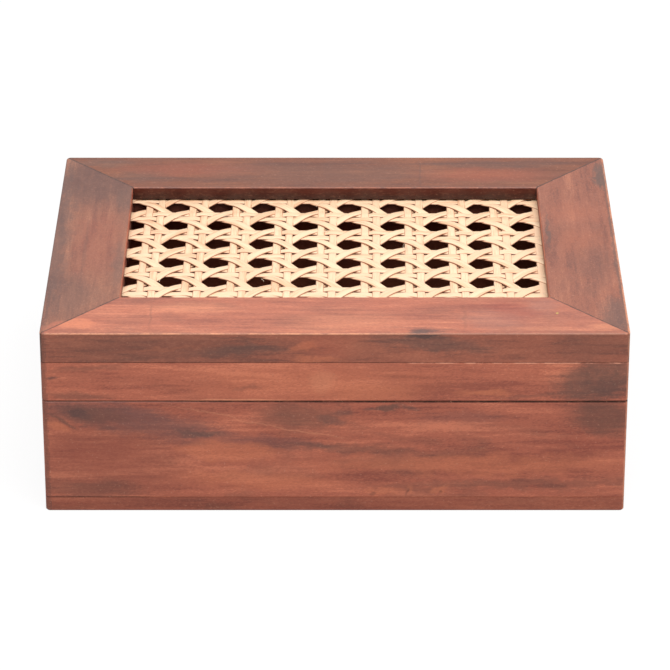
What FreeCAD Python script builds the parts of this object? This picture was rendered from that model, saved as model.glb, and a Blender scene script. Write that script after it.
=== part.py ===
"""Wooden keepsake box with a hinged lid that frames a panel of woven cane.

The origin is the middle of the underside: +X along the width, +Y to the hinged back, +Z up.
"""
import FreeCAD, Part
import math
import os

import Sketcher

os.makedirs("parts", exist_ok=True)
doc = FreeCAD.newDocument("cane_lid_box")
X = FreeCAD.Vector(1, 0, 0)
Y = FreeCAD.Vector(0, 1, 0)
Z = FreeCAD.Vector(0, 0, 1)

# Driving dimensions, in millimetres and degrees
driving_dimensions = [
    ("box_width", 162.0, "outside, left to right"),
    ("box_depth", 120.0, "outside, front to back"),
    ("bottom_board", 4.4, "thickness of the board under the walls"),
    ("base_wall_height", 30.1, "board to seam"),
    ("wall_thickness", 8.0, "walls of the base and rim of the lid"),
    ("lid_rim_height", 12.0, "seam to the underside of the top frame"),
    ("lid_frame_height", 8.9, "thickness of the top frame"),
    ("side_rail", 21.0, "width of the left and right rails"),
    ("front_rail", 23.1, "width of the front rail"),
    ("back_rail", 22.1, "width of the back rail"),
    ("corner_round", 1.3, "upright outside corners"),
    ("foot_arris", 0.3, "eased lower edge of the bottom board"),
    ("top_arris", 0.25, "eased outside edge of the top frame"),
    ("seam_arris", 0.3, "eased edges where lid and base meet"),
    ("lip_height", 3.8, "wood left above the cane, inside the frame"),
    ("lip_arris", 0.35, "eased edge of the cane opening"),
    ("rebate_width", 6.0, "step that takes the cane and its beads"),
    ("cane_edge_gap", 2.5, "cane stops this far short of the rebate's wall"),
    ("strand_width", 1.8, "one strand of cane"),
    ("strand_thickness", 0.4, "one strand of cane"),
    ("pair_gap", 0.7, "between the two strands of a pair"),
    ("mesh_opening", 8.4, "between one pair and the next"),
    ("first_hole_x", 13.0, "first hole from the left edge of the opening"),
    ("first_hole_y", 6.2, "first hole from the front edge of the opening"),
    ("hinge_length", 25.0, "length of a butt hinge"),
    ("hinge_inset", 35.0, "middle of a hinge from the end of the box"),
    ("leaf_reach", 5.4, "pin to the far edge of a leaf"),
    ("leaf_thickness", 0.8, "brass plate"),
    ("leaf_gap", 0.05, "leaf below the wood's face"),
    ("mortise_gap", 0.1, "around a leaf in its mortise"),
    ("barrel_radius", 1.75, "knuckles"),
    ("barrel_gap", 0.15, "around the knuckles, and from one to the next"),
    ("pin_radius", 0.9, "hinge pin"),
    ("pin_clearance", 0.05, "pin in the lid's knuckle, on the radius"),
    ("opening_angle", 95.0, "lid from shut to its stop"),
    ("stop_slack", 1.0, "left between the stop faces"),
]
sizes = doc.addObject("Spreadsheet::Sheet", "Sizes")
for row, (alias, number, note) in enumerate(driving_dimensions, start=1):
    sizes.set(f"A{row}", alias)
    sizes.set(f"B{row}", str(number))
    sizes.setAlias(f"B{row}", alias)
    sizes.set(f"C{row}", note)
doc.recompute()

# Places worked out from the driving dimensions
half_width = "(Sizes.box_width / 2)"
half_depth = "(Sizes.box_depth / 2)"
seam = "(Sizes.bottom_board + Sizes.base_wall_height)"
frame_underside = f"({seam} + Sizes.lid_rim_height)"
rebate_depth = "(Sizes.lid_frame_height - Sizes.lip_height)"
cane_above_level = "(1.5 * Sizes.strand_thickness)"
cane_below_level = "(2.5 * Sizes.strand_thickness)"
bead_height = f"({rebate_depth} - {cane_above_level} - {cane_below_level})"
opening_x = f"({half_width} - Sizes.side_rail)"
opening_front = f"(Sizes.front_rail - {half_depth})"
opening_back = f"({half_depth} - Sizes.back_rail)"
pin_y = f"({half_depth} - Sizes.barrel_radius - Sizes.barrel_gap)"
leaf_near = "(Sizes.barrel_radius + Sizes.barrel_gap)"
leaf_depth = "(Sizes.leaf_gap + Sizes.leaf_thickness)"
bevel_angle = "((Sizes.opening_angle + Sizes.stop_slack) / 2)"
past_wood = "(Sizes.wall_thickness)"


def value(expression):
    """The number that an expression of the sheet gives."""
    return float(sizes.evalExpression(expression))


def point(place):
    """A sketch point from a pair of expressions."""
    return FreeCAD.Vector(value(place[0]), value(place[1]), 0)


def sketch_on(body, role, name):
    """A sketch on one of a body's own origin planes."""
    sketch = body.newObject("Sketcher::SketchObject", name)
    plane = next(item for item in body.Origin.OriginFeatures if item.Role == role)
    sketch.AttachmentSupport = (plane, [""])
    sketch.MapMode = "FlatFace"
    return sketch


def draw_outline(sketch, corners, rounds=None):
    """Draw a closed outline, anticlockwise; rounds gives the arc that leaves a corner."""
    rounds = rounds or {}
    count = len(corners)
    for index, start in enumerate(corners):
        first = point(start)
        last = point(corners[(index + 1) % count])
        if index in rounds:
            centre, radius = rounds[index]
            middle = point(centre)
            begin = math.atan2(first.y - middle.y, first.x - middle.x)
            end = math.atan2(last.y - middle.y, last.x - middle.x)
            if end < begin:
                end += 2 * math.pi
            circle = Part.Circle(middle, Z, value(radius))
            sketch.addGeometry(Part.ArcOfCircle(circle, begin, end))
        else:
            sketch.addGeometry(Part.LineSegment(first, last))
    for index, start in enumerate(corners):
        sketch.addConstraint(Sketcher.Constraint("Coincident", index, 2, (index + 1) % count, 1))
        for kind, expression in zip(("DistanceX", "DistanceY"), start):
            number = value(expression)
            row = sketch.addConstraint(Sketcher.Constraint(kind, -1, 1, index, 1, number))
            sketch.setExpression(f"Constraints[{row}]", expression)
    for index, (centre, radius) in rounds.items():
        row = sketch.addConstraint(Sketcher.Constraint("Radius", index, value(radius)))
        sketch.setExpression(f"Constraints[{row}]", radius)


def pad(body, sketch, length):
    """Raise a sketch by a length."""
    feature = body.newObject("PartDesign::Pad", "Pad")
    feature.Profile = (sketch, [""])
    feature.setExpression("Length", length)
    doc.recompute()


def ease(body, size, on_edge):
    """Take the arris off the edges whose middle passes the test on_edge."""
    base = body.Tip
    names = []
    for number, edge in enumerate(base.Shape.Edges, start=1):
        middle = edge.valueAt((edge.FirstParameter + edge.LastParameter) / 2)
        if on_edge(middle):
            names.append(f"Edge{number}")
    feature = body.newObject("PartDesign::Chamfer", "Arris")
    feature.Base = (base, names)
    feature.setExpression("Size", size)
    doc.recompute()


def cut_through(body, role, corners, depth=None):
    """Pocket an outline: upwards to a depth, or right through both ways."""
    before = body.Tip.Shape.Volume
    sketch = sketch_on(body, role, "CutOutline")
    draw_outline(sketch, corners)
    feature = body.newObject("PartDesign::Pocket", "Pocket")
    feature.Profile = (sketch, [""])
    if depth:
        feature.Reversed = True
        feature.setExpression("Length", depth)
    else:
        feature.Type = "ThroughAll"
        feature.Midplane = True
    doc.recompute()
    if feature.Shape.Volume >= before:
        raise RuntimeError(f"{body.Label}: the pocket removes nothing")


def rectangle(low_x, high_x, low_y, high_y):
    """The corners of a rectangle, anticlockwise."""
    return [(low_x, low_y), (high_x, low_y), (high_x, high_y), (low_x, high_y)]


def lift(item, height):
    """Raise an object to its height in the box."""
    item.setExpression(".Placement.Base.z", height)


# A mitred ring has four members; each runs anticlockwise, from the one before to the one after
ring_order = ["front", "right", "back", "left"]


def ring_point(side, half_x, half_y, along, inward):
    """A point of a member, from its place along the outer edge and inward from it."""
    return {
        "front": (along, f"{inward} - {half_y}"),
        "right": (f"{half_x} - ({inward})", along),
        "back": (f"-({along})", f"{half_y} - ({inward})"),
        "left": (f"{inward} - {half_x}", f"-({along})"),
    }[side]


def mitred_member(label, side, ring, height, corner_round=None):
    """One member of a ring: mitres run from the outer corners to the inner corners."""
    half_x, half_y, rails = ring
    place = ring_order.index(side)
    own = rails[side]
    before = rails[ring_order[place - 1]]
    after = rails[ring_order[(place + 1) % 4]]
    half_run = half_x if side in ("front", "back") else half_y

    def at(along, inward):
        return ring_point(side, half_x, half_y, along, inward)

    inner = [at(f"{half_run} - {after}", own), at(f"{before} - {half_run}", own)]
    body = doc.addObject("PartDesign::Body", label)
    sketch = sketch_on(body, "XY_Plane", "MemberOutline")
    if corner_round is None:
        outer = [at(f"-{half_run}", "0"), at(half_run, "0")]
        draw_outline(sketch, outer + inner)
    else:
        # The mitre meets the rounded corner at this share of its length, from the sharp corner
        def share(neighbour):
            spare = f"({own} + {neighbour} - sqrt(2 * {own} * {neighbour}))"
            return f"({corner_round} * {spare} / ({own} * {own} + {neighbour} * {neighbour}))"

        corners = [
            at(f"{corner_round} - {half_run}", "0"),
            at(f"{half_run} - {corner_round}", "0"),
            at(f"{half_run} - {share(after)} * {after}", f"{share(after)} * {own}"),
            *inner,
            at(f"{share(before)} * {before} - {half_run}", f"{share(before)} * {own}"),
        ]
        rounds = {
            1: (at(f"{half_run} - {corner_round}", corner_round), corner_round),
            5: (at(f"{corner_round} - {half_run}", corner_round), corner_round),
        }
        draw_outline(sketch, corners, rounds)
    pad(body, sketch, height)
    return body


def near_outline(middle, level):
    """Whether a point lies on the outside of the box, at a height of its body."""
    round_size = value("Sizes.corner_round")
    on_side = abs(middle.x) > value(half_width) - round_size
    on_end = abs(middle.y) > value(half_depth) - round_size
    return (on_side or on_end) and abs(middle.z - level) < 1e-6


def bevel_back(body, seam_level, outward):
    """Bevel the back edge away from the hinge pin, so that the open lid rests on its stop."""
    reach = f"({leaf_near} + {past_wood})"
    drop = f"({reach} * tan({bevel_angle}))"
    corners = [
        (pin_y, seam_level),
        (f"{pin_y} + {reach}", f"{seam_level} {outward} {drop}"),
        (f"{pin_y} + {reach}", seam_level),
    ]
    if outward == "+":
        corners = [corners[0], corners[2], corners[1]]
    cut_through(body, "YZ_Plane", corners)


pieces = []

# Bottom board, under the walls and flush with them
board = doc.addObject("PartDesign::Body", "base_bottom_board")
board_sketch = sketch_on(board, "XY_Plane", "BoardOutline")
board_corners = []
board_rounds = {}
for turn, (sign_x, sign_y) in enumerate([("-", "-"), ("", "-"), ("", ""), ("-", "")]):
    at_side = (f"{sign_x}{half_width}", f"{sign_y}({half_depth} - Sizes.corner_round)")
    at_end = (f"{sign_x}({half_width} - Sizes.corner_round)", f"{sign_y}{half_depth}")
    centre = (at_end[0], at_side[1])
    board_corners += [at_side, at_end] if turn in (0, 2) else [at_end, at_side]
    board_rounds[2 * turn] = (centre, "Sizes.corner_round")
draw_outline(board_sketch, board_corners, board_rounds)
pad(board, board_sketch, "Sizes.bottom_board")
ease(board, "Sizes.foot_arris", lambda middle: near_outline(middle, 0))
pieces.append(board)

# Walls of the base and rim of the lid: two mitred rings with the seam between them
wall_rails = dict.fromkeys(ring_order, "Sizes.wall_thickness")
wall_ring = (half_width, half_depth, wall_rails)
blanks = {}
for group, height, underside, seam_level, outward in [
    ("base_{}_wall", "Sizes.base_wall_height", "Sizes.bottom_board", "Sizes.base_wall_height", "-"),
    ("lid_{}_rim", "Sizes.lid_rim_height", seam, "0", "+"),
]:
    for side in ring_order:
        label = group.format(side)
        name = f"{label}_blank" if side == "back" else label
        member = mitred_member(name, side, wall_ring, height, "Sizes.corner_round")
        if side != "front":
            bevel_back(member, seam_level, outward)
        level = value(seam_level)
        if side != "back":
            ease(member, "Sizes.seam_arris",
                 lambda middle: near_outline(middle, level) and middle.y < value(pin_y))
            pieces.append(member)
        else:
            blanks[label] = member
        lift(member, underside)

# Top frame: four rails, rebated underneath around the opening for the cane
frame_rails = {
    "front": "Sizes.front_rail",
    "right": "Sizes.side_rail",
    "back": "Sizes.back_rail",
    "left": "Sizes.side_rail",
}
rebate = rectangle(
    f"-{opening_x} - Sizes.rebate_width",
    f"{opening_x} + Sizes.rebate_width",
    f"{opening_front} - Sizes.rebate_width",
    f"{opening_back} + Sizes.rebate_width",
)
for side in ring_order:
    ring = (half_width, half_depth, frame_rails)
    rail = mitred_member(f"lid_{side}_rail", side, ring, "Sizes.lid_frame_height", "Sizes.corner_round")
    cut_through(rail, "XY_Plane", rebate, rebate_depth)
    top = value("Sizes.lid_frame_height")
    ease(rail, "Sizes.top_arris", lambda middle: near_outline(middle, top))

    def on_lip(middle):
        inside_x = abs(middle.x) < value(opening_x) + 0.01
        inside_y = value(opening_front) - 0.01 < middle.y < value(opening_back) + 0.01
        return inside_x and inside_y and abs(middle.z - top) < 1e-6

    ease(rail, "Sizes.lip_arris", on_lip)
    lift(rail, frame_underside)
    pieces.append(rail)

# Beads: four mitred strips that press the cane up against the lip
bead_half_y = f"(({opening_back} - {opening_front}) / 2 + Sizes.rebate_width)"
bead_rails = dict.fromkeys(ring_order, "Sizes.rebate_width")
bead_ring = (f"({opening_x} + Sizes.rebate_width)", bead_half_y, bead_rails)
for side in ring_order:
    bead = mitred_member(f"cane_{side}_bead", side, bead_ring, bead_height)
    bead.setExpression(".Placement.Base.y", f"({opening_back} + {opening_front}) / 2")
    lift(bead, frame_underside)
    pieces.append(bead)

# Woven cane: pairs run both ways, and single strands cross them on both diagonals
strand = value("Sizes.strand_width")
thickness = value("Sizes.strand_thickness")
pair_offset = (strand + value("Sizes.pair_gap")) / 2
pitch = value("Sizes.mesh_opening") + 2 * strand + value("Sizes.pair_gap")
cane_reach = value("Sizes.rebate_width - Sizes.cane_edge_gap")
cane_left = -value(opening_x) - cane_reach
cane_right = value(opening_x) + cane_reach
cane_front = value(opening_front) - cane_reach
cane_back = value(opening_back) + cane_reach
cane_level = value(f"{frame_underside} + {bead_height} + {cane_below_level}")
hole_x = value(f"Sizes.first_hole_x - {opening_x}")
hole_y = value(f"Sizes.first_hole_y + {opening_front}")
root_two = math.sqrt(2)


def repeats(first, low, high):
    """Every place one pitch apart from the first, between low and high."""
    start = math.ceil((low - first) / pitch)
    finish = math.floor((high - first) / pitch)
    return [first + pitch * count for count in range(start, finish + 1)]


def level_path(flats, low, high):
    """Distance and level along a strand: flat stretches joined by ramps, ended at low and high."""
    corners = []
    for begin, end, level in sorted(flats):
        if corners and corners[-1][1] == level:
            corners.pop()
        else:
            corners.append((begin, level))
        corners.append((end, level))
    path = []
    for (here, level), (there, next_level) in zip(corners, corners[1:]):
        slope = (next_level - level) / (there - here)
        for place in (max(here, low), min(there, high)):
            inside = here <= place <= there and low <= place <= high
            if inside and (not path or place > path[-1][0]):
                path.append((place, level + slope * (place - here)))
    return path


def ribbon(origin, along, path):
    """A flat strand whose middle follows the path, in strand thicknesses up and down."""
    across = Z.cross(along)
    edge = origin - across * (strand / 2)
    upper = [edge + along * place + Z * (thickness * (level + 0.5)) for place, level in path]
    lower = [corner - Z * thickness for corner in reversed(upper)]
    outline = Part.makePolygon(upper + lower + upper[:1])
    return Part.Face(outline).extrude(across * strand)


pair_columns = repeats(hole_x + pitch / 2, cane_left + pair_offset + strand / 2,
                       cane_right - pair_offset - strand / 2)
pair_rows = repeats(hole_y + pitch / 2, cane_front + pair_offset + strand / 2,
                    cane_back - pair_offset - strand / 2)
all_columns = repeats(hole_x + pitch / 2, cane_left - 2 * pitch, cane_right + 2 * pitch)
all_rows = repeats(hole_y + pitch / 2, cane_front - 2 * pitch, cane_back + 2 * pitch)

# Left to right: these pairs stay level, and the others pass over and under them
level_strands = []
for row in pair_rows:
    for offset in (-pair_offset, pair_offset):
        start = FreeCAD.Vector(0, row + offset, cane_level)
        level_strands.append(ribbon(start, X, [(cane_left, 0), (cane_right, 0)]))

# Front to back: one strand of a pair lies over the back strand of each row, the other over the front one
diagonal_cover = pair_offset + strand * (0.5 + 1 / root_two)
upright_strands = []
for column in pair_columns:
    for offset in (-pair_offset, pair_offset):
        flats = []
        for row in all_rows:
            over = row - offset
            under = row + offset
            flats.append((over - strand / 2, over + strand / 2, 1))
            flats.append((under - strand / 2, under + strand / 2, -1))
            middle = row + pitch / 2
            flats.append((middle - diagonal_cover, middle + diagonal_cover, -1))
        start = FreeCAD.Vector(column + offset, 0, cane_level)
        upright_strands.append(ribbon(start, Y, level_path(flats, cane_front, cane_back)))


def diagonal_strands(slant, column_level, row_level):
    """Single strands at 45 degrees: slant -1 runs to the front right, +1 to the back right."""
    along = FreeCAD.Vector(1, slant, 0) / root_two
    corner = strand / (2 * root_two)
    cover = root_two * (pair_offset + strand / 2) + strand / 2
    strands = []
    span = cane_right - cane_left + cane_back - cane_front
    for crossing in repeats(hole_x - slant * hole_y + pitch / 2, -span, span):
        limits = sorted(((cane_front + corner) * slant, (cane_back - corner) * slant))
        low = max(cane_left + corner, crossing + limits[0])
        high = min(cane_right - corner, crossing + limits[1])
        if high - low < pitch:
            continue
        middles = [(root_two * column, column_level) for column in all_columns]
        middles += [(root_two * (crossing + slant * row), row_level) for row in all_rows]
        flats = [(middle - cover, middle + cover, level) for middle, level in middles]
        start = FreeCAD.Vector(0, -slant * crossing, cane_level)
        path = level_path(flats, root_two * low, root_two * high)
        strands.append(ribbon(start, along, path))
    return strands


for label, strands in [
    ("cane_left_to_right", level_strands),
    ("cane_front_to_back", upright_strands),
    ("cane_diagonal_to_front_right", diagonal_strands(-1, 0, -1)),
    ("cane_diagonal_to_back_right", diagonal_strands(1, -2, 1)),
]:
    cane = doc.addObject("Part::Feature", label)
    cane.Shape = Part.makeCompound(strands)
    pieces.append(cane)


# Hinges: two brass butt hinges, let in behind the seam with their barrels in the bevel


def block(name, x_range, y_range, z_range):
    """A box between pairs of expressions."""
    item = doc.addObject("Part::Box", name)
    for size, axis, (low, high) in zip(("Length", "Width", "Height"), "xyz", (x_range, y_range, z_range)):
        item.setExpression(size, f"({high}) - ({low})")
        item.setExpression(f".Placement.Base.{axis}", low)
    return item


def rod(name, radius, x_range):
    """A round bar along the hinge pin."""
    item = doc.addObject("Part::Cylinder", name)
    item.Placement = FreeCAD.Placement(FreeCAD.Vector(), FreeCAD.Rotation(Y, 90))
    item.setExpression("Radius", radius)
    item.setExpression("Height", f"({x_range[1]}) - ({x_range[0]})")
    for axis, expression in zip("xyz", (x_range[0], pin_y, seam)):
        item.setExpression(f".Placement.Base.{axis}", expression)
    return item


def fused(label, shapes):
    """Several shapes made one."""
    item = doc.addObject("Part::MultiFuse", label)
    item.Shapes = shapes
    return item


def cut(label, base, tool):
    """A shape with another taken away."""
    item = doc.addObject("Part::Cut", label)
    item.Base = base
    item.Tool = tool
    return item


def centred(centre, half):
    """The ends of a stretch on both sides of a centre."""
    return (f"{centre} - {half}", f"{centre} + {half}")


knuckle = "((Sizes.hinge_length - 2 * Sizes.barrel_gap) / 3)"
hinge_centres = {
    "left": f"(Sizes.hinge_inset - {half_width})",
    "right": f"({half_width} - Sizes.hinge_inset)",
}
leaf_levels = {
    "base": (f"{seam} - {leaf_depth}", f"{seam} - Sizes.leaf_gap"),
    "lid": (f"{seam} + Sizes.leaf_gap", f"{seam} + {leaf_depth}"),
}
bed_levels = {
    "base": (leaf_levels["base"][0], f"{seam} + {past_wood}"),
    "lid": (f"{seam} - {past_wood}", leaf_levels["lid"][1]),
}
own_knuckles = {"base": (0, 2), "lid": (1,)}
bores = {"base": "Sizes.pin_radius", "lid": "Sizes.pin_radius + Sizes.pin_clearance"}


def leaf(label, body, centre):
    """One leaf of a butt hinge: a plate, and its knuckles rolled round the pin."""
    plate_x = centred(centre, "Sizes.hinge_length / 2")
    plate_y = (f"{pin_y} - Sizes.leaf_reach", f"{pin_y} - {leaf_near}")
    solids = [block(f"{label}_plate", plate_x, plate_y, leaf_levels[body])]
    for count in own_knuckles[body]:
        start = f"{plate_x[0]} + {count} * ({knuckle} + Sizes.barrel_gap)"
        stretch = (start, f"{start} + {knuckle}")
        tab_y = (f"{pin_y} - {leaf_near}", f"{pin_y} - Sizes.pin_radius")
        solids.append(rod(f"{label}_knuckle", "Sizes.barrel_radius", stretch))
        solids.append(block(f"{label}_tab", stretch, tab_y, leaf_levels[body]))
    return cut(label, fused(f"{label}_stock", solids), rod(f"{label}_bore", bores[body], plate_x))


def mortise(name, body, centre):
    """What is cut from the wood for one hinge: the leaf's bed and the barrel's way."""
    bed_half = "(Sizes.hinge_length / 2 + Sizes.mortise_gap)"
    bed_y = (f"{pin_y} - Sizes.leaf_reach - Sizes.mortise_gap", f"{half_depth} + {past_wood}")
    return [
        block(f"{name}_bed", centred(centre, bed_half), bed_y, bed_levels[body]),
        rod(f"{name}_barrel", leaf_near, centred(centre, bed_half)),
    ]


for body, label in (("base", "base_back_wall"), ("lid", "lid_back_rim")):
    waste = []
    for side, centre in hinge_centres.items():
        waste += mortise(f"{label}_{side}", body, centre)
        pieces.append(leaf(f"hinge_{side}_{body}_leaf", body, centre))
    pieces.append(cut(label, blanks[label], fused(f"{label}_mortises", waste)))

for side, centre in hinge_centres.items():
    ends = centred(centre, "Sizes.hinge_length / 2")
    pieces.append(rod(f"hinge_{side}_pin", "Sizes.pin_radius", ends))

doc.recompute()
for item in doc.Objects:
    if {"Invalid", "Error"} & set(item.State):
        raise RuntimeError(f"{item.Label}: {item.State}")
for piece in pieces:
    if piece.Shape.isNull() or not piece.Shape.isValid():
        raise RuntimeError(f"{piece.Label}: no valid shape")
for piece in pieces:
    piece.Shape.exportStep(f"parts/{piece.Label}.step")
    print(piece.Label, len(piece.Shape.Solids), round(piece.Shape.Volume, 2))
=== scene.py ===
import math
import random

import bpy
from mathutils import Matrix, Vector, noise


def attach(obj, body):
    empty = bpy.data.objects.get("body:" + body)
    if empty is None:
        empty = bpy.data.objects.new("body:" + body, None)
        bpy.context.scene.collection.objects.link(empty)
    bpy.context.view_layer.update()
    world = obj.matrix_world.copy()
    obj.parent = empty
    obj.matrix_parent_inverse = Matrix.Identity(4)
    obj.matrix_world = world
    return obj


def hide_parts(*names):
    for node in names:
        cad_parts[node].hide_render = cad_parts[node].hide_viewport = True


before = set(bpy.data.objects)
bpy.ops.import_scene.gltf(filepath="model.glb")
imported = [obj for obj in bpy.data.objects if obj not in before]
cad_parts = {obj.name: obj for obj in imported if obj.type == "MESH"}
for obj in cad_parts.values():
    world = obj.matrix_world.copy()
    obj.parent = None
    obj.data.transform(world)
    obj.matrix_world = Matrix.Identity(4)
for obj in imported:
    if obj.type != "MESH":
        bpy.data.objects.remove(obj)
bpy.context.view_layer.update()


# Studio. The camera stands in front and a little above, square to the box. One broad soft
# light hangs above the front. The sky is white, and so is the paper under the box, where the
# camera sees only a faint shadow; to the box itself the paper is grey.
def placed(name, data):
    """An object with this mesh, lamp or camera, put into the scene."""
    made = bpy.data.objects.new(name, data)
    bpy.context.scene.collection.objects.link(made)
    return made


camera = placed("camera", bpy.data.cameras.new("camera"))
camera.location = (0.00005, -0.98493, 0.51380)
camera.rotation_euler = (math.radians(63.615), 0, 0)
camera.data.lens = 202.55
camera.data.sensor_width = 36
bpy.context.scene.camera = camera
bpy.context.scene.view_settings.view_transform = "Standard"


class Field:
    """A quantity that varies over a surface and can be used in ordinary sums."""

    def __init__(self, finish, socket):
        self.finish = finish
        self.socket = socket

    def __add__(self, other):
        return self.finish.math("ADD", self, other)

    def __sub__(self, other):
        return self.finish.math("SUBTRACT", self, other)

    def __mul__(self, other):
        return self.finish.math("MULTIPLY", self, other)

    def __truediv__(self, other):
        return self.finish.math("DIVIDE", self, other)

    def __rsub__(self, other):
        return self.finish.math("SUBTRACT", other, self)

    def __abs__(self):
        return self.finish.math("ABSOLUTE", self)

    __radd__ = __add__
    __rmul__ = __mul__


class Finish:
    """The nodes of a material, or of the sky round the box."""

    def __init__(self, owner):
        owner.use_nodes = True
        self.owner = owner
        self.tree = owner.node_tree

    def node(self, kind, settings, inputs, output=0):
        """Any node: its settings are set first, then its sockets' values or links."""
        made = self.tree.nodes.new(f"ShaderNode{kind}")
        for key, setting in settings.items():
            setattr(made, key, setting)
        for key, given in inputs.items():
            if isinstance(given, Field):
                self.tree.links.new(given.socket, made.inputs[key])
            else:
                made.inputs[key].default_value = given
        return Field(self, made.outputs[output])

    def math(self, operation, *terms):
        return self.node("Math", {"operation": operation}, dict(enumerate(terms)))

    def least(self, first, second):
        return self.math("MINIMUM", first, second)

    def most(self, first, second):
        return self.math("MAXIMUM", first, second)

    def fade(self, quantity, nothing, full):
        """0 where the quantity is at nothing, 1 where it is at full, smooth between."""
        settings = {"interpolation_type": "SMOOTHSTEP"}
        inputs = {"Value": quantity, "From Min": nothing, "From Max": full}
        return self.node("MapRange", settings, inputs)

    def blend(self, share, first, second):
        """A colour, share of the way from the first to the second."""
        return self.node("Mix", {"data_type": "RGBA"}, {0: share, 6: first, 7: second}, output=2)

    def scaled(self, vector, factors, shift=(0, 0, 0)):
        return self.node(
            "VectorMath", {"operation": "MULTIPLY_ADD"}, {0: vector, 1: factors, 2: shift})

    def cloud(self, place, detail=2.0, roughness=0.5, distortion=0.0, output=0):
        """Smooth random values around a half."""
        inputs = {
            "Vector": place,
            "Scale": 1.0,
            "Detail": detail,
            "Roughness": roughness,
            "Distortion": distortion,
        }
        return self.node("TexNoise", {}, inputs, output)

    def set(self, **constants):
        """Constant values of the shader."""
        for key, constant in constants.items():
            self.tree.nodes["Principled BSDF"].inputs[key.replace("_", " ")].default_value = constant

    def link(self, name, field, target="Principled BSDF"):
        self.tree.links.new(field.socket, self.tree.nodes[target].inputs[name])

    def bump(self, height, strength, distance):
        """Relief, in metres."""
        inputs = {"Height": height, "Strength": strength, "Distance": distance}
        self.link("Normal", self.node("Bump", {}, inputs))


def colour(red, green, blue):
    """A linear colour from its screen values, 0 to 255."""
    linear = []
    for level in (red, green, blue):
        level /= 255
        linear.append(level / 12.92 if level <= 0.04045 else ((level + 0.055) / 1.055) ** 2.4)
    return (*linear, 1)


lamp = bpy.data.lights.new("soft_light", "AREA")
lamp.shape = "SQUARE"
lamp.size = 1.3
lamp.energy = 22
soft_light = placed("soft_light", lamp)
soft_light.location = (0.15, -0.45, 1.25)
towards_box = Vector((0, 0, 0.03)) - soft_light.location
soft_light.rotation_euler = towards_box.to_track_quat("-Z", "Y").to_euler()

bpy.context.scene.world = bpy.data.worlds.new("studio")
sky = Finish(bpy.context.scene.world)
seen = 0
for ray in ("Is Camera Ray", "Is Glossy Ray", "Is Transmission Ray"):
    seen = sky.most(sky.node("LightPath", {}, {}, ray), seen)
sky.link("Strength", 0.5 + seen * 0.5, "Background")
sky.tree.nodes["Background"].inputs["Color"].default_value = (1, 1, 1, 1)

reach = 3.0
floor_corners = [(-reach, -reach, 0), (reach, -reach, 0), (reach, reach, 0), (-reach, reach, 0)]
floor_mesh = bpy.data.meshes.new("floor")
floor_mesh.from_pydata(floor_corners, [], [(0, 1, 2, 3)])
floor = placed("floor", floor_mesh)
paper = Finish(bpy.data.materials.new("studio_paper"))
paper.set(Roughness=0.9, Specular_IOR_Level=0.0)
white_share = 0.88
directly = paper.node("LightPath", {}, {}, "Is Camera Ray")
paper.link("Base Color", paper.blend(directly, (0.45, 0.45, 0.45, 1), (0.98, 0.98, 0.98, 1)))
lit_paper = Field(paper, paper.tree.nodes["Principled BSDF"].outputs[0])
white = paper.node("Emission", {}, {"Strength": 1.0})
both = paper.node("MixShader", {}, {0: directly * white_share, 1: lit_paper, 2: white})
paper.link("Surface", both, "Material Output")
floor_mesh.materials.append(paper.owner)

# Base. A plain board under four mitred walls, all of one close-grained hardwood. It is stained
# red brown and rubbed back by hand, so the stain lies smoky in places and thin in others.
half_width = 81
half_depth = 60
wall = 8
board_top = 4.4
seam = 34.5


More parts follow.
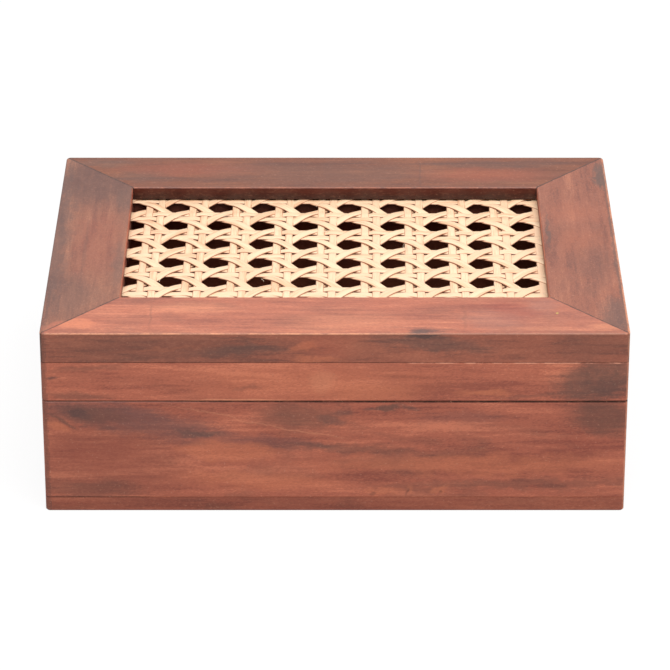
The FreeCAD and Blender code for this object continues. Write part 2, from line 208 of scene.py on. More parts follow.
class Wood(Finish):
    """Stained wood whose grain runs along one axis; all lengths here are in millimetres."""

    def __init__(self, name, along, seed, tone):
        super().__init__(bpy.data.materials.new(name))
        self.along = along
        self.shift = [random.Random(seed + axis).uniform(0, 90) for axis in range(3)]
        objects = self.node("TexCoord", {}, {}, "Object")
        self.place = self.scaled(objects, (1000, 1000, 1000))
        self.x, self.y, self.z = (self.axis(number) for number in range(3))
        self.figure = self.cloud(self.grain(44, 6), 3.0, 0.55, 0.35)
        self.streaks = self.cloud(self.grain(15, 1.2), 3.0, 0.6, 0.15)
        self.strokes = self.cloud(self.grain(2.4, 0.3, 16), 2.0, 0.65)
        self.fibres = self.cloud(self.grain(1.3, 0.2), 2.0, 0.7)
        self.haze = self.cloud(self.grain(24, 9), 4.0, 0.55, 0.5)
        self.mottle = self.cloud(self.grain(4, 2.2), 4.0, 0.65)
        self.drift = self.cloud(self.grain(7, 3.5), 4.0, 0.62, 0.0, "Color")
        self.dull = 0
        shades = []
        for shade in (colour(134, 68, 52), colour(166, 90, 67), colour(194, 112, 83)):
            shades.append([level * factor for level, factor in zip(shade, (*tone, 1))])
        self.figured(*shades)

    def axis(self, number):
        return self.node("SeparateXYZ", {}, {0: self.place}, number)

    def grain(self, length, width, slant=0):
        """The place in units of a grain mark's length and width; marks may slant a little."""
        turn = [math.radians(slant)] * 3
        turn["xyz".index(self.along)] = 0
        place = self.node("Mapping", {}, {"Vector": self.place, "Rotation": turn})
        factors = [1 / width] * 3
        factors["xyz".index(self.along)] = 1 / length
        return self.scaled(place, factors, self.shift)

    def figured(self, dark, middle, light):
        """Stain that follows the figure of the wood."""
        depth = self.figure * 0.42 + self.streaks * 0.26 + self.strokes * 0.18 + self.fibres * 0.14
        low = self.blend(self.fade(depth, 0.39, 0.5), dark, middle)
        self.tint = self.blend(self.fade(depth, 0.5, 0.61), low, light)

    def stain(self, share, tint):
        """Lay a colour over what is there."""
        self.tint = self.blend(share, self.tint, tint)

    def smoke(self, amount, low=0.48, high=0.72):
        """Greyish brown clouds of darker stain."""
        cloudy = self.haze + (self.mottle - 0.5) * 0.2
        self.stain(self.fade(cloudy, low, high) * amount, colour(108, 69, 56))

    def mark(self, centre, half, turn, edge, wander, feather):
        """1 in an uneven oval with this centre and these half sizes, fading to 0 outside it."""
        uneven = self.node("VectorMath", {"operation": "ADD"}, {
            0: self.place,
            1: self.scaled(self.drift, [wander * 3] * 3, [-wander * 1.5] * 3),
        })
        inside = self.node("Mapping", {"vector_type": "TEXTURE"}, {
            "Vector": uneven,
            "Location": centre,
            "Rotation": [math.radians(angle) for angle in turn],
            "Scale": half,
        })
        distance = self.node("VectorMath", {"operation": "LENGTH"}, {0: inside}, "Value")
        ragged = self.streaks * 1.3 + self.strokes * 0.8 + self.mottle * 1.2 - 1.65
        cover = self.fade(distance + ragged * feather, 1 + edge / 2, 1 - edge / 2)
        return cover * (0.3 + self.mottle * 0.7 + self.strokes * 0.6)

    def finished(self, sheen=0.42):
        """Pores and a few pale specks of painted glint, then relief and gloss."""
        grit = self.cloud(self.grain(0.8, 0.45), 1.0)
        self.stain(self.fade(grit, 0.52, 0.74) * 0.06, colour(226, 160, 128))
        self.stain(self.fade(grit, 0.48, 0.26) * 0.12, colour(76, 38, 30))
        # Painted glints: pale specks where pores catch the light.
        painted_glints = self.cloud(self.grain(0.6, 0.5), 0.0)
        self.stain(self.fade(painted_glints, 0.76, 0.82) * 0.16, colour(222, 170, 142))
        pores = self.fade(self.fibres, 0.42, 0.28)
        self.stain(pores * 0.14, colour(84, 42, 32))
        self.link("Base Color", self.tint)
        self.link("Roughness", sheen + self.mottle * 0.14 + self.dull * 0.5)
        relief = self.strokes * 0.4 + self.streaks * 0.3 + self.fibres * 0.3
        self.bump(relief, 0.2, 0.00015)
        return self.owner


smoky = colour(104, 66, 54)
mauve = colour(116, 74, 68)
slate = colour(84, 66, 60)
ink = colour(66, 50, 50)
dark_red = colour(142, 64, 48)
orange = colour(202, 116, 80)
pale_orange = colour(224, 148, 110)


def marked_front(wood, marks):
    """Marks on the front: across, up, their half sizes, turn, share, colour, edge, wander."""
    for across, up, half_across, half_up, turn, share, tint, edge, wander in marks:
        centre = (across, -half_depth, up)
        half = (half_across, 4, half_up)
        wood.stain(wood.mark(centre, half, (0, -turn, 0), edge, wander, 0.6) * share, tint)


def give(node, material):
    """A CAD node keeps its mesh and takes this material."""
    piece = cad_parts[node]
    piece.data.materials.clear()
    piece.data.materials.append(material)


def past_faces(wood):
    """How far a place lies past the box's upright outer faces: below 0 within the box."""
    return wood.most(abs(wood.x) - half_width, abs(wood.y) - half_depth)


def shaded_joint(wood, height, half, share):
    """Painted shade in the joint where two members meet, here more and there less."""
    near = wood.fade(abs(wood.z - height), half * 1.6, half * 0.5)
    near = near * wood.fade(past_faces(wood), -0.5, -0.2)
    uneven = wood.fade(wood.mottle + wood.streaks * 0.5, 0.45, 0.85)
    wood.stain(near * (0.35 + uneven * 0.65) * share, colour(40, 20, 15))
    wood.dull = wood.most(near, wood.dull)


def shaded_and_lit_corners(wood):
    """Upright corners: painted shade on the left, a dark joint line, painted highlight on the right.
    """
    front = wood.fade(wood.y, 1 - half_depth, 0.2 - half_depth)
    left = wood.fade(wood.x, 1.5 - half_width, 1.2 - half_width) * front
    wood.stain(left * 0.5, colour(104, 62, 50))
    line = wood.fade(abs(wood.x + (half_width - 1.55)), 0.22, 0.06) * front
    wood.stain(line * wood.fade(wood.mottle, 0.4, 0.65) * 0.5, ink)
    # Painted highlight down the right-hand corner.
    painted_highlight = wood.fade(wood.x, half_width - 0.65, half_width - 0.4)
    wood.stain(painted_highlight * wood.fade(wood.mottle, 0.3, 0.55) * 0.55, pale_orange)


def shaded_inside(wood):
    """Painted shade on the faces inside the box, where the lid keeps the light out."""
    within = wood.most(abs(wood.x) - (half_width - wall), abs(wood.y) - (half_depth - wall))
    inside = wood.fade(within, 0.3, 0.1) * wood.fade(wood.z, board_top - 0.2, board_top - 0.05)
    wood.stain(inside * 0.75, colour(122, 66, 46))


base_front_marks = (
    (-56.0, 28.6, 25, 4.0, -11, 0.85, mauve, 1.1, 2.4),
    (-68.0, 30.6, 9, 2.8, -8, 0.60, smoky, 1.0, 2.4),
    (-62.0, 16.0, 20, 12, 0, 0.42, colour(112, 58, 46), 1.3, 3.0),
    (-71.4, 31.0, 3.4, 1.2, -6, 0.55, ink, 1.3, 2.6),
    (-37.4, 24.3, 6.5, 1.0, -4, 0.60, slate, 1.2, 1.8),
    (-14.0, 21.5, 14, 1.7, -6, 0.50, mauve, 1.2, 2.0),
    (-3.0, 20.4, 3, 0.9, -10, 0.40, slate, 1.2, 1.6),
    (-9.0, 30.2, 12, 3.6, 0, 0.55, smoky, 1.1, 2.6),
    (-1.5, 28.6, 3.5, 1.4, -20, 0.45, slate, 1.2, 2.0),
    (-33.0, 30.4, 12.0, 0.22, -13, 0.26, pale_orange, 1.3, 0.9),
    (-10.0, 25.4, 12.0, 0.20, -11, 0.30, pale_orange, 1.3, 0.9),
    (-75.4, 28.2, 4.4, 0.5, -32, 0.65, smoky, 1.0, 0.8),
    (-76.8, 26.6, 3.8, 1.3, -22, 0.45, orange, 0.5, 1.2),
    (-64.0, 17.0, 14, 6.0, 0, 0.25, dark_red, 1.0, 3.0),
    (-29.5, 18.9, 13, 3.1, -3, 0.42, orange, 0.4, 1.4),
    (-20.2, 9.6, 20, 2.6, -3, 0.40, orange, 1.2, 2.6),
    (-67.4, 6.4, 13, 3.0, 0, 0.45, smoky, 1.1, 2.4),
    (14.6, 32.4, 3.8, 0.8, 0, 0.72, colour(88, 64, 55), 1.0, 1.8),
    (21.3, 32.1, 2.6, 0.5, 0, 0.50, slate, 1.2, 1.4),
    (9.6, 32.2, 1.8, 0.4, 0, 0.40, slate, 1.0, 1.0),
    (2.0, 31.0, 3.0, 1.6, 0, 0.35, slate, 1.2, 2.4),
    (35.0, 29.5, 12, 2.0, 0, 0.30, mauve, 1.2, 2.6),
    (74.5, 29.6, 9.5, 5.6, -18, 0.78, smoky, 1.1, 2.6),
    (8.0, 19.4, 20, 1.4, -3, 0.55, smoky, 1.2, 2.0),
    (40.0, 14.6, 40, 2.8, 0, 0.45, orange, 1.3, 3.0),
    (47.0, 8.4, 33, 1.5, 1, 0.50, smoky, 1.2, 2.2),
    (66.0, 20.5, 14, 2.4, 4, 0.30, dark_red, 1.2, 2.6),
    (28.4, 6.8, 2.2, 0.7, 8, 0.45, orange, 1.2, 2.4),
    (30.8, 6.6, 1.0, 1.4, -28, 0.45, orange, 1.2, 2.0),
    (30.0, 6.1, 0.5, 0.4, -10, 0.60, colour(98, 54, 42), 1.2, 1.2),
    (14.0, 6.4, 4.6, 0.8, 0, 0.40, orange, 1.2, 2.4),
    (21.2, 7.2, 0.6, 1.2, 14, 0.40, orange, 1.2, 1.4),
    (20.4, 6.4, 0.26, 1.4, -18, 0.50, colour(92, 50, 40), 1.2, 1.2),
    (10.6, 5.8, 1.2, 0.4, 10, 0.50, colour(96, 54, 42), 1.0, 1.2),
)
for node, along, seed in (
    ("base_bottom_board", "x", 11),
    ("base_front_wall", "x", 12),
    ("base_back_wall", "x", 13),
    ("base_left_wall", "y", 14),
    ("base_right_wall", "y", 15),
):
    wood = Wood(node, along, seed, (1.07, 1.07, 1.09))
    if node == "base_front_wall":
        wood.smoke(0.35)
        marked_front(wood, base_front_marks)
    elif node == "base_bottom_board":
        wood.smoke(0.5)
        wood.stain(0.5, colour(112, 52, 36))
    else:
        wood.smoke(0.6)
    shaded_inside(wood)
    shaded_and_lit_corners(wood)
    # Painted shade: the top arris of the base walls, just under the seam, is darkened so that it does
    # not catch the light.
    wood.stain(wood.fade(wood.z, seam - 0.45, seam - 0.25) * 0.6, colour(110, 58, 44))
    wider_to_the_right = 0.12 + wood.fade(wood.x, -66, 20) * 0.26
    shaded_joint(wood, seam, wider_to_the_right, 0.97)
    darker_to_the_left = 0.25 + wood.fade(wood.x, -50, -56) * 0.55
    shaded_joint(wood, board_top, 0.14, darker_to_the_left)
    give(node, wood.finished())

# Lid rim. Four mitred members of the same wood, flush with the base below them. Their seam
# with the base is a fine dark line of painted shade that opens a little towards the right.
rim_top = 46.5
rim_front_marks = (
    (-6.0, 40.2, 33, 5.0, 0, 0.30, orange, 1.3, 3.0),
    (9.0, 37.0, 12, 2.0, 0, 0.30, orange, 1.2, 2.6),
    (-3.4, 40.8, 3.4, 3.4, 0, 0.25, pale_orange, 0.9, 1.6),
    (42.0, 37.3, 7.0, 1.1, 2, 0.60, orange, 1.1, 1.8),
    (-78.0, 41.7, 1.7, 0.4, 0, 0.62, ink, 1.2, 1.0),
    (-71.0, 36.2, 8, 1.1, -3, 0.50, smoky, 1.2, 1.6),
    (-68.0, 44.6, 10, 0.9, 3, 0.45, smoky, 1.3, 1.8),
    (-24.0, 38.8, 4, 0.6, 8, 0.35, smoky, 1.2, 1.6),
    (58.0, 36.2, 12, 0.7, 2, 0.45, smoky, 1.2, 1.6),
    (73.0, 41.0, 12.5, 5.6, 12, 0.82, colour(100, 68, 58), 0.7, 1.8),
    (76.0, 38.6, 7.5, 2.6, -10, 0.30, ink, 1.1, 2.4),
    (-26.0, 34.95, 14, 0.28, 0, 0.60, pale_orange, 1.0, 0.3),
)
for node, along, seed in (
    ("lid_front_rim", "x", 21),
    ("lid_back_rim", "x", 22),
    ("lid_left_rim", "y", 23),
    ("lid_right_rim", "y", 24),
):
    wood = Wood(node, along, seed, (1.17, 1.19, 1.20))
    if node == "lid_front_rim":
        wood.smoke(0.12)
        marked_front(wood, rim_front_marks)
    else:
        wood.smoke(0.6)
    shaded_inside(wood)
    shaded_and_lit_corners(wood)
    shaded_joint(wood, seam, 0.1, 0.8)
    shaded_joint(wood, rim_top, 0.12, 0.85)
    # A pale broken line along the top edge of the rim, towards the right.
    pale_line = wood.fade(abs(wood.z - (rim_top - 0.2)), 0.26, 0.1) * wood.fade(wood.x, 14, 24)
    wood.stain(pale_line * wood.fade(wood.mottle, 0.38, 0.6) * 0.8, colour(232, 158, 128))
    give(node, wood.finished())

# Lid rails. The top frame has four wide rails, mitred at the corners and glued to the rim. The
# mitres show as hair lines, the edges are rubbed back to lighter wood, and the inner faces above
# the cane are dark with painted shade.
top = 55.4
front_rail = 23.1
back_rail = 22.1
side_rail = 21.0
cane_depth = 3.8
opening_half_width = half_width - side_rail
opening_front = front_rail - half_depth
opening_back = half_depth - back_rail
front_rail_front_marks = (
    (-47.9, 50.9, 34, 5.0, 0, 0.48, smoky, 1.1, 2.6),
    (-25.0, 50.4, 14, 1.7, 5, 0.50, slate, 1.2, 2.4),
    (-8.6, 50.8, 4.0, 1.2, 14, 0.50, orange, 1.0, 2.6),
    (-5.0, 47.4, 6.4, 0.8, 0, 0.50, orange, 1.2, 2.0),
    (-3.0, 51.2, 8.0, 3.4, 0, 0.30, colour(186, 96, 70), 1.2, 3.0),
    (24.5, 55.0, 4.6, 0.9, 0, 0.85, ink, 0.8, 0.9),
    (27.0, 52.4, 15, 2.4, -4, 0.58, slate, 1.2, 3.0),
    (72.0, 51.5, 12, 4.2, 0, 0.42, smoky, 1.1, 2.6),
    (-48.0, 50.4, 11, 0.5, 6, 0.15, orange, 1.3, 1.8),
)
rail_top_marks = {
    "lid_front_rail": (
        (-71.0, -53.8, 4.4, 3.2, 14, 0.60, colour(214, 128, 92), 0.5, 2.2),
        (-41.6, -44.0, 11, 3.2, 0, 0.20, pale_orange, 1.3, 3.0),
        (-45.2, -50.3, 3.4, 3.0, 0, 0.22, smoky, 1.2, 2.4),
        (-30.6, -41.9, 3.8, 1.3, 0, 0.25, smoky, 1.2, 1.6),
        (-54.3, -39.6, 4.5, 1.6, 0, 0.35, smoky, 1.2, 1.8),
        (-57.0, -52.0, 6.0, 4.0, 0, 0.22, smoky, 1.2, 2.6),
        (-51.0, -49.0, 0.3, 7.0, 0, 0.30, smoky, 1.2, 0.6),
        (4.0, -52.8, 14, 4.6, 0, 0.22, pale_orange, 1.3, 3.0),
        (30.0, -41.5, 30, 3.0, 0, 0.22, dark_red, 1.3, 2.4),
        (50.0, -46.4, 5.0, 8.4, 48, 0.50, colour(140, 58, 46), 1.1, 3.2),
        (44.1, -51.4, 8.4, 5.0, -12, 0.36, colour(150, 108, 96), 1.3, 3.0),
        (57.6, -42.4, 4.2, 4.4, 30, 0.36, colour(150, 108, 96), 1.2, 2.4),
        (64.0, -49.0, 14.0, 8.0, 0, 0.25, colour(142, 92, 78), 1.3, 2.6),
        (35.9, -50.2, 0.5, 8.0, 0, 0.22, smoky, 1.2, 0.8),
        (75.4, -56.0, 5.0, 1.9, -8, 0.35, pale_orange, 1.1, 1.8),
        (61.5, -47.3, 0.3, 0.4, 0, 0.70, colour(196, 172, 84), 0.8, 0.4),
    ),
    "lid_left_rail": (
        (-70.4, 42.0, 13, 18, 0, 0.74, colour(84, 54, 48), 1.1, 3.2),
        (-80.2, 6.0, 3.4, 50, 0, 0.60, colour(82, 62, 58), 1.2, 2.6),
        (-68.0, -1.0, 7.0, 22, 0, 0.34, colour(156, 80, 58), 1.2, 3.0),
        (-71.7, -5.1, 0.5, 17, 0, 0.40, smoky, 1.2, 1.0),
        (-73.8, -37.0, 7.0, 13, 0, 0.32, slate, 1.1, 3.0),
        (-61.6, -14.0, 1.8, 15, 0, 0.42, slate, 1.1, 1.6),
        (-61.8, 28.7, 2.6, 8.0, 0, 0.40, slate, 1.1, 1.8),
        (-75.0, -55.0, 5.0, 2.6, 20, 0.55, colour(190, 106, 80), 0.6, 1.6),
    ),
    "lid_back_rail": (
        (-58.2, 45.0, 9.0, 3.6, 0, 0.35, slate, 1.2, 2.4),
        (-70.0, 55.6, 8.0, 2.8, 0, 0.45, slate, 1.2, 2.2),
        (-43.0, 51.0, 18, 4.6, 0, 0.45, colour(146, 72, 50), 1.2, 2.8),
        (-2.0, 47.5, 28, 9.0, 0, 0.30, slate, 1.2, 3.2),
        (25.5, 48.0, 0.3, 8.6, 0, 0.35, ink, 1.2, 0.6),
        (46.0, 47.0, 17, 4.4, 0, 0.50, colour(154, 76, 52), 1.2, 2.6),
        (45.0, 55.0, 20, 2.6, 0, 0.30, slate, 1.2, 2.6),
        (71.4, 49.3, 0.4, 0.8, 0, 0.60, ink, 0.8, 0.3),
    ),
    "lid_right_rail": (
        (79.4, 46.5, 2.4, 9.0, 0, 0.80, slate, 0.6, 1.6),
        (61.9, 8.0, 0.5, 12.5, 0, 0.60, slate, 0.8, 1.4),
        (69.7, 19.5, 8.0, 8.0, 0, 0.35, colour(168, 96, 70), 1.2, 2.6),
        (71.0, 0.0, 6.0, 8.0, 0, 0.30, colour(170, 94, 64), 1.2, 2.6),
        (73.0, -14.0, 5.0, 12, 0, 0.35, smoky, 1.2, 2.8),
        (80.2, -5.0, 0.5, 46, 0, 0.55, slate, 1.0, 0.9),
        (77.7, -49.0, 4.0, 11, 0, 0.60, slate, 1.0, 2.4),
    ),
}


def marked_top(wood, marks):
    """Marks on the top: across, back, their half sizes, turn, share, colour, edge, wander."""
    for across, back, half_across, half_back, turn, share, tint, edge, wander in marks:
        centre = (across, back, top)
        half = (half_across, half_back, 3)
        wood.stain(wood.mark(centre, half, (0, 0, turn), edge, wander, 0.5) * share, tint)


def past_opening(wood):
    """How far a place lies past the upright faces round the opening: above 0 in the rails."""
    middle = (opening_front + opening_back) / 2
    half = (opening_back - opening_front) / 2
    return wood.most(abs(wood.x) - opening_half_width, abs(wood.y - middle) - half)


def rubbed_and_shaded_edges(wood):
    """Light wood rubbed on the arrises, broken up and uneven in width; painted shade on the opening's
    back arris.
    """
    wobble = (wood.mottle + wood.strokes - 1) * 1.6
    high = wood.fade(wood.z, top - 0.45, top - 0.3)
    worn = wood.fade(wood.mottle * 0.6 + wood.fibres * 0.4, 0.4, 0.6)
    at_edge = wood.fade(past_faces(wood) + wobble * 0.25, -0.34, -0.16) * high
    front = wood.fade(wood.y, 3 - half_depth, 1 - half_depth) * (0.22 + wood.fade(wood.x, 34, 4) * 0.4)
    right = wood.fade(wood.x, half_width - 2, half_width - 1) * wood.fade(wood.y, 40, 10) * 0.8
    wood.stain(at_edge * 0.5, colour(96, 60, 50))
    wood.stain(at_edge * wood.most(front, right) * (0.45 + worn * 0.55), colour(240, 160, 116))
    inner_edge = wood.fade(past_opening(wood) + wobble * 0.1, 0.34, 0.18) * high
    # Painted shade on the back arris of the opening, so that it does not catch the light.
    wood.stain(inner_edge * wood.fade(wood.y, 20, 34) * 0.8, colour(96, 46, 32))
    wood.stain(inner_edge * (worn * 0.4 + 0.02), colour(206, 120, 84))


def mitres(wood):
    """Hair lines where the rails meet at the corners."""
    from_side = half_width - abs(wood.x)
    front = from_side * front_rail - (wood.y + half_depth) * side_rail
    back = from_side * back_rail - (half_depth - wood.y) * side_rail
    front = front / math.hypot(front_rail, side_rail)
    back = back / math.hypot(back_rail, side_rail)
    joint = wood.least(abs(front), abs(back))
    uneven = 0.5 + wood.fade(wood.mottle, 0.35, 0.6) * 0.5
    wood.stain(wood.fade(joint, 0.34, 0.12) * uneven * 0.95, colour(44, 28, 26))


def shaded_inner_faces(wood, near_top, near_cane):
    """Painted shade on the upright faces round the opening, darkest down by the cane."""
    upright = wood.fade(past_opening(wood), 0.14, 0.04) * wood.fade(wood.z, top - 0.1, top - 0.25)
    level = wood.z + (wood.mottle - 0.5) * 3 + (wood.streaks - 0.5) * 2
    height = wood.fade(level, top - cane_depth, top - 0.4)
    wood.stain(upright * 0.95, wood.blend(height, near_cane, near_top))


# The rails' tones are lit and shaded copies of one wood: painted sheen raises the front rail's and
# painted shade lowers the back rail's, with the side rails between.
for node, along, seed, tone in (
    ("lid_front_rail", "x", 31, (1.10, 1.23, 1.26)),
    ("lid_back_rail", "x", 32, (0.46, 0.48, 0.37)),
    ("lid_left_rail", "y", 33, (0.66, 0.90, 0.94)),
    ("lid_right_rail", "y", 34, (0.70, 0.83, 0.86)),
):
    wood = Wood(node, along, seed, tone)
    wood.smoke(0.3)
    marked_top(wood, rail_top_marks[node])
    if node == "lid_front_rail":
        face = wood.fade(wood.y, 0.4 - half_depth, 0.1 - half_depth)
        wood.stain(face * 0.6, colour(138, 76, 58))
        wood.stain(face * wood.fade(wood.streaks, 0.5, 0.34) * 0.4, colour(96, 58, 48))
        wood.stain(face * wood.fade(wood.strokes, 0.52, 0.7) * 0.3, colour(184, 104, 78))
        marked_front(wood, front_rail_front_marks)
    # The side rails' inner faces are painted as lit, the front and back rails' as shaded.
    if along == "y":
        shaded_inner_faces(wood, colour(168, 76, 50), colour(120, 54, 36))
    else:
        shaded_inner_faces(wood, colour(80, 22, 4), colour(44, 12, 4))
    rubbed_and_shaded_edges(wood)
    mitres(wood)
    shaded_and_lit_corners(wood)
    shaded_joint(wood, rim_top, 0.12, 0.6)
    give(node, wood.finished())

# Beads. Four plain mitred strips inside the lid press the edge of the cane up against the
# rails. They are stained like the rest, but darker, and nobody rubbed them back.
for node, along, seed in (
    ("cane_front_bead", "x", 41),
    ("cane_back_bead", "x", 42),
    ("cane_left_bead", "y", 43),
    ("cane_right_bead", "y", 44),
):
    wood = Wood(node, along, seed, (0.4, 0.38, 0.38))
    give(node, wood.finished(0.5))

# Cane. Open six-way webbing of peeled rattan: pairs of strands run both ways, and single ones
# cross them on both diagonals. One diagonal arches over the upright pairs and the other over
# the level ones. The edge is pressed flat in the rebate.
pitch = 12.7
pair_offset = 0.132 * pitch
upright_width = 2.3
level_width = 2.8
diagonal_width = 2.9
strip_thickness = 0.34
pair_height = 0.19
arch_height = 0.5
sheet_level = 50.8
mesh_middle = (3.8, -5.3)
mesh_turn = -0.0094
cane_low = (-63.4, -40.3)
cane_high = (63.4, 41.3)
edge_rise = 0.48
edge_reach = 4
fewest_points = 12
strip_section = (
    (-0.97, -0.5), (-1.0, -0.12), (-0.9, 0.22), (-0.5, 0.44), (0.0, 0.5),
    (0.5, 0.44), (0.9, 0.22), (1.0, -0.12), (0.97, -0.5),
)


def eased(stations, place):
    """A smooth line that is level at each of its stations, repeated every pitch."""
    place = (place + 0.5) % 1 - 0.5
    for (here, level), (there, following) in zip(stations, stations[1:]):
        if here <= place <= there:
            share = (place - here) / (there - here)
            return level + (following - level) * (0.5 - 0.5 * math.cos(math.pi * share))
    return 0.0


pair_wave = ((-0.5, 0), (-0.3, 0), (-0.135, 1), (0.135, -1), (0.3, 0), (0.5, 0))


def arch(place):
    """How a diagonal strand rises over one pair and dips under the next."""
    return arch_height * math.cos(2 * math.pi * place)


def room(x, y):
    """0 under the rails, rising to 1 a little way inside the opening."""
    inside = min(opening_half_width - abs(x), y - opening_front, opening_back - y)
    share = max(0.0, min(1.0, inside / edge_reach))
    return share * share * (3 - 2 * share)


def strip_mesh(name, strands):
    """Strips of cane. A strand has its points, a seed for its own wander, and its width."""
    vertices = []
    faces = []
    along_values = []
    across_values = []
    tone_values = []
    for number, (points, strand_seed, strip_width) in enumerate(strands):
        chooser = random.Random(strand_seed)
        tone = chooser.random()
        side_step = chooser.uniform(-0.14, 0.14)
        width = strip_width * chooser.uniform(0.93, 1.05)
        drift = Vector((chooser.uniform(0, 90), chooser.uniform(0, 90), 0))
        start = len(vertices)
        travelled = 0.0
        for index, point in enumerate(points):
            before = points[max(index - 1, 0)]
            after = points[min(index + 1, len(points) - 1)]
            ahead = (after - before).normalized()
            across = Vector((-ahead.y, ahead.x, 0)).normalized()
            upward = ahead.cross(across)
            if index:
                travelled += (point - points[index - 1]).length
            place = drift + Vector((travelled / 13, 0, 0))
            sway = side_step + 0.16 * noise.noise(place)
            roll = 0.11 * noise.noise(place * 1.7 + Vector((0, 40, 0)))
            breadth = width * (1 + 0.07 * noise.noise(place * 2.3 + Vector((0, 0, 60))))
            for across_share, up_share in strip_section:
                shift = across * (sway + across_share * breadth / 2)
                lift = upward * (up_share * strip_thickness + across_share * roll * breadth / 2)
                vertices.append((point + shift + lift) / 1000)
                along_values.append(travelled / 1000 + number * 0.37)
                across_values.append(across_share)
                tone_values.append(tone)
        size = len(strip_section)
        rings = len(points)
        for ring in range(rings - 1):
            for corner in range(size):
                first = start + ring * size + corner
                second = start + ring * size + (corner + 1) % size
                faces.append((first, first + size, second + size, second))
        faces.append([start + corner for corner in range(size)])
        faces.append([start + (rings - 1) * size + corner for corner in reversed(range(size))])
    mesh = bpy.data.meshes.new(name)
    mesh.from_pydata(vertices, [], faces)
    for key, numbers in (("along", along_values), ("across", across_values), ("tone", tone_values)):
        mesh.attributes.new(key, "FLOAT", "POINT").data.foreach_set("value", numbers)
    mesh.shade_smooth()
    mesh.set_sharp_from_angle(angle=math.radians(50))
    return mesh


def in_box(x, y):
    """A place in the weave, turned and shifted to where the sheet lies in the lid."""
    cosine = math.cos(mesh_turn)
    sine = math.sin(mesh_turn)
    return (
        mesh_middle[0] + x * cosine - y * sine,
        mesh_middle[1] + x * sine + y * cosine,
    )


def woven(begin, step, count, height_at, strand_seed, width):
    """Follow a straight line of the weave and keep what lies on the sheet."""
    points = []
    for index in range(count):
        flat_x = begin[0] + step[0] * index
        flat_y = begin[1] + step[1] * index
        x, y = in_box(flat_x, flat_y)
        if cane_low[0] <= x <= cane_high[0] and cane_low[1] <= y <= cane_high[1]:
            free = edge_rise + (1 - edge_rise) * room(x, y)
            lift = height_at(flat_x / pitch, flat_y / pitch)
            points.append(Vector((x, y, sheet_level + lift * free)))
    return (points, strand_seed, width) if len(points) > fewest_points else None


# Every line of the weave starts and ends outside the sheet.
fine = pitch / 20
families = {
    "cane_left_to_right": [],
    "cane_front_to_back": [],
    "cane_diagonal_to_front_right": [],
    "cane_diagonal_to_back_right": [],
}
for count in range(-8, 9):
    line = (count + 0.5) * pitch
    for side in (-1, 1):
        begin = (line + side * pair_offset, -60)
        rise = side * pair_height
        upright = woven(
            begin, (0, fine), 200, lambda x, y: rise * eased(pair_wave, y - 0.5),
            1000 + 2 * count + side, upright_width)
        begin = (-80, line + side * pair_offset)
        level = woven(
            begin, (fine, 0), 260, lambda x, y: -rise * eased(pair_wave, x - 0.5),
            2000 + 2 * count + side, level_width)
        families["cane_front_to_back"].append(upright)
        families["cane_left_to_right"].append(level)
for count in range(-14, 15):
    line = (count + 0.5) * pitch
    step = fine / math.sqrt(2)
    falling = woven(
        (line - 100, 100), (step, -step), 460, lambda x, y: -arch(x),
        3000 + count, diagonal_width)
    rising = woven(
        (line - 100, -100), (step, step), 460, lambda x, y: arch(x),
        4000 + count, diagonal_width)
    families["cane_diagonal_to_front_right"].append(falling)
    families["cane_diagonal_to_back_right"].append(rising)

straw = Finish(bpy.data.materials.new("peeled_cane"))
along = straw.node("Attribute", {"attribute_name": "along"}, {}, "Fac")
across = straw.node("Attribute", {"attribute_name": "across"}, {}, "Fac")
tone = straw.node("Attribute", {"attribute_name": "tone"}, {}, "Fac")
lengthwise = straw.node("CombineXYZ", {}, {0: along * 160, 1: across * 7, 2: tone * 40})
fibres = straw.cloud(lengthwise, 3.0, 0.6)
lengthwise = straw.node("CombineXYZ", {}, {0: along * 60, 1: across * 0.8, 2: tone * 70})
shades = straw.cloud(lengthwise, 2.0, 0.5)
ripeness = straw.fade(fibres * 0.5 + shades * 0.5 + tone * 0.12, 0.36, 0.62)
skin = straw.blend(ripeness, colour(227, 174, 134), colour(243, 210, 174))
skin = straw.blend(straw.fade(tone, 0.6, 0.95) * 0.6, skin, colour(236, 192, 156))
groove_lines = straw.fade(fibres, 0.4, 0.26)
skin = straw.blend(groove_lines * 0.5, skin, colour(206, 146, 110))
# Painted shade, warmed as by light passing through the cane: each strip turns orange brown along its
# edges.
edge = straw.fade(abs(across), 0.78, 1.0)
skin = straw.blend(edge * 0.9, skin, colour(158, 94, 64))
straw.link("Base Color", skin)
straw.link("Roughness", 0.34 + fibres * 0.2)
straw.bump(fibres, 0.3, 0.00008)

for name, strands in families.items():
    mesh = strip_mesh(name + "_strips", [strand for strand in strands if strand])
    mesh.materials.append(straw.owner)
    piece = placed(name + "_strips", mesh)
    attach(piece, "lid")
    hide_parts(name)

# Stray fibres. Hair-thin splinters of rattan that lift from the strands where the cane was
# split, paler than its skin.
fibre_radius = 0.07
stray_places = (
    # across, back, height, heading in degrees, length, how far the tip lifts
    (-20.9, -16.4, 51.1, -72, 2.4, 0.2),
    (-49.9, -18.2, 51.1, 68, 2.6, 0.5),
    (-16.4, -10.8, 51.5, 90, 5.0, 0.1),
    (-16.5, -25.0, 51.5, 90, 4.6, 0.1),
    (-51.6, -3.2, 51.4, 120, 2.6, 0.5),
    (-47.2, 24.6, 51.4, 12, 3.8, 0.3),
    (-33.6, 25.4, 51.4, 8, 4.2, 0.3),
    (-5.4, 32.6, 51.5, 60, 5.0, 0.4),
    (40.2, 13.4, 51.6, 4, 3.4, 0.1),
    (45.4, -20.6, 51.3, 80, 2.8, 0.5),
    (20.4, 2.2, 51.5, 92, 4.4, 0.2),
    (10.0, -22.6, 51.3, 130, 2.6, 0.4),
    (-3.6, 14.6, 51.4, 20, 4.0, 0.3),
)


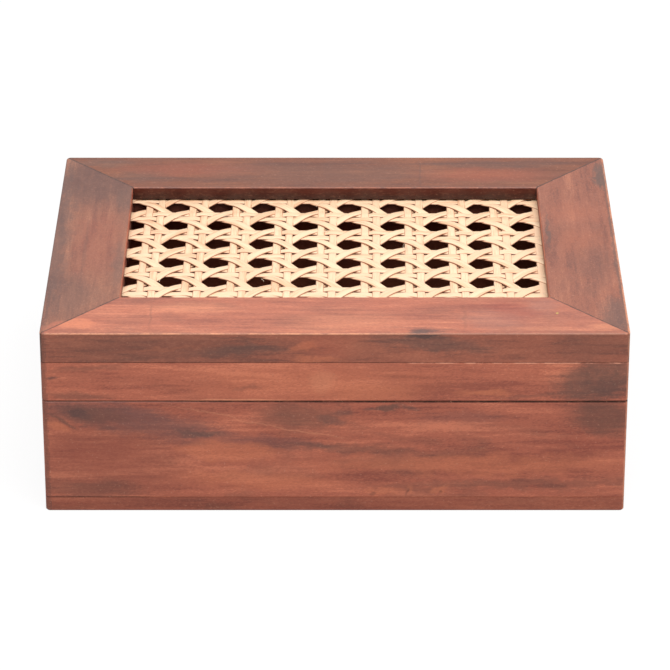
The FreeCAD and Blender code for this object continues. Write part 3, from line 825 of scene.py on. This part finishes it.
def splinter_mesh(name, places):
    """Each splinter is a bent, tapered needle of five sides."""
    vertices = []
    faces = []
    sides = 5
    rings = 9
    for across, back, height, heading, length, lift in places:
        direction = math.radians(heading)
        ahead = Vector((math.cos(direction), math.sin(direction), 0))
        sideways = Vector((-ahead.y, ahead.x, 0))
        start = len(vertices)
        for ring in range(rings):
            share = ring / (rings - 1)
            bend = 0.12 * length * math.sin(math.pi * share)
            centre = Vector((across, back, height + lift * share * share))
            centre += ahead * (length * share) + sideways * bend
            radius = fibre_radius * (1.05 - 0.75 * share)
            for side in range(sides):
                angle = 2 * math.pi * side / sides
                spoke = sideways * math.cos(angle) + Vector((0, 0, 1)) * math.sin(angle)
                vertices.append((centre + spoke * radius) / 1000)
        for ring in range(rings - 1):
            for side in range(sides):
                first = start + ring * sides + side
                second = start + ring * sides + (side + 1) % sides
                faces.append((first, second, second + sides, first + sides))
        faces.append([start + side for side in reversed(range(sides))])
        faces.append([start + (rings - 1) * sides + side for side in range(sides)])
    mesh = bpy.data.meshes.new(name)
    mesh.from_pydata(vertices, [], faces)
    mesh.shade_smooth()
    return mesh


pith = Finish(bpy.data.materials.new("split_cane"))
pith_place = pith.scaled(pith.node("TexCoord", {}, {}, "Object"), (1500, 1500, 1500))
paleness = pith.cloud(pith_place, 2.0)
pith.link("Base Color", pith.blend(paleness, colour(250, 236, 214), colour(236, 208, 176)))
pith.link("Roughness", 0.4 + paleness * 0.3)
mesh = splinter_mesh("cane_stray_fibres", stray_places)
mesh.materials.append(pith.owner)
piece = placed("cane_stray_fibres", mesh)
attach(piece, "lid")

# Hinges. Two small butt hinges of dull brass, let into the back behind the seam. Each has three
# knuckles on a pin: two on the base's leaf and one on the lid's.
brass = Finish(bpy.data.materials.new("dull_brass"))
brass_place = brass.scaled(brass.node("TexCoord", {}, {}, "Object"), (900, 900, 900))
clouding = brass.cloud(brass_place, 4.0, 0.6)
brass.link("Base Color", brass.blend(clouding, colour(176, 136, 74), colour(214, 178, 106)))
brass.link("Roughness", 0.25 + clouding * 0.25)
brass.set(Metallic=1.0)
brass.bump(clouding, 0.15, 0.00005)
for side in ("left", "right"):
    for part in ("base_leaf", "lid_leaf", "pin"):
        give(f"hinge_{side}_{part}", brass.owner)

# Hinge screws. Two brass ones to a leaf, their slotted heads filed down almost flush, so that
# the leaves still close on each other.
head_radius = 1.15
head_rise = 0.04
head_bevel = 0.05
slot_width = 0.3
hinge_middle = 46
screw_spacing = 8.3
screw_back = 54.45
leaf_gap = 0.05


def screw_heads(name, level, facing, centres):
    """Each head is two half rounds with bevelled rims; between them the leaf is its slot's floor."""
    vertices = []
    faces = []
    steps = 14
    for number, middle in enumerate(centres):
        slant = math.radians(25 + 50 * number)
        for half in (1, -1):
            start = len(vertices)
            widest = math.acos(slot_width / 2 / head_radius)
            for inset, rise in ((0, 0), (head_bevel, head_rise)):
                for step in range(steps + 1):
                    angle = -widest + 2 * widest * step / steps
                    right = half * max(math.cos(angle) * (head_radius - inset), slot_width / 2)
                    up = math.sin(angle) * (head_radius - inset)
                    x = middle + right * math.cos(slant) - up * math.sin(slant)
                    y = screw_back + right * math.sin(slant) + up * math.cos(slant)
                    vertices.append((x / 1000, y / 1000, (level + facing * rise) / 1000))
            ring = steps + 1
            outward = half * facing
            for step in range(ring):
                following = (step + 1) % ring
                face = [start + step, start + following]
                face += [start + ring + following, start + ring + step]
                faces.append(face if outward > 0 else face[::-1])
            top_face = [start + ring + step for step in range(ring)]
            faces.append(top_face if outward > 0 else top_face[::-1])
            low_face = [start + step for step in range(ring)]
            faces.append(low_face[::-1] if outward > 0 else low_face)
    mesh = bpy.data.meshes.new(name)
    mesh.from_pydata(vertices, [], faces)
    return mesh


for side, middle in (("left", -hinge_middle), ("right", hinge_middle)):
    centres = (middle - screw_spacing, middle + screw_spacing)
    for body, level, facing in (("base", seam - leaf_gap, 1), ("lid", seam + leaf_gap, -1)):
        name = f"hinge_{side}_{body}_screws"
        mesh = screw_heads(name, level, facing, centres)
        mesh.materials.append(brass.owner)
        piece = placed(name, mesh)
        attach(piece, body)
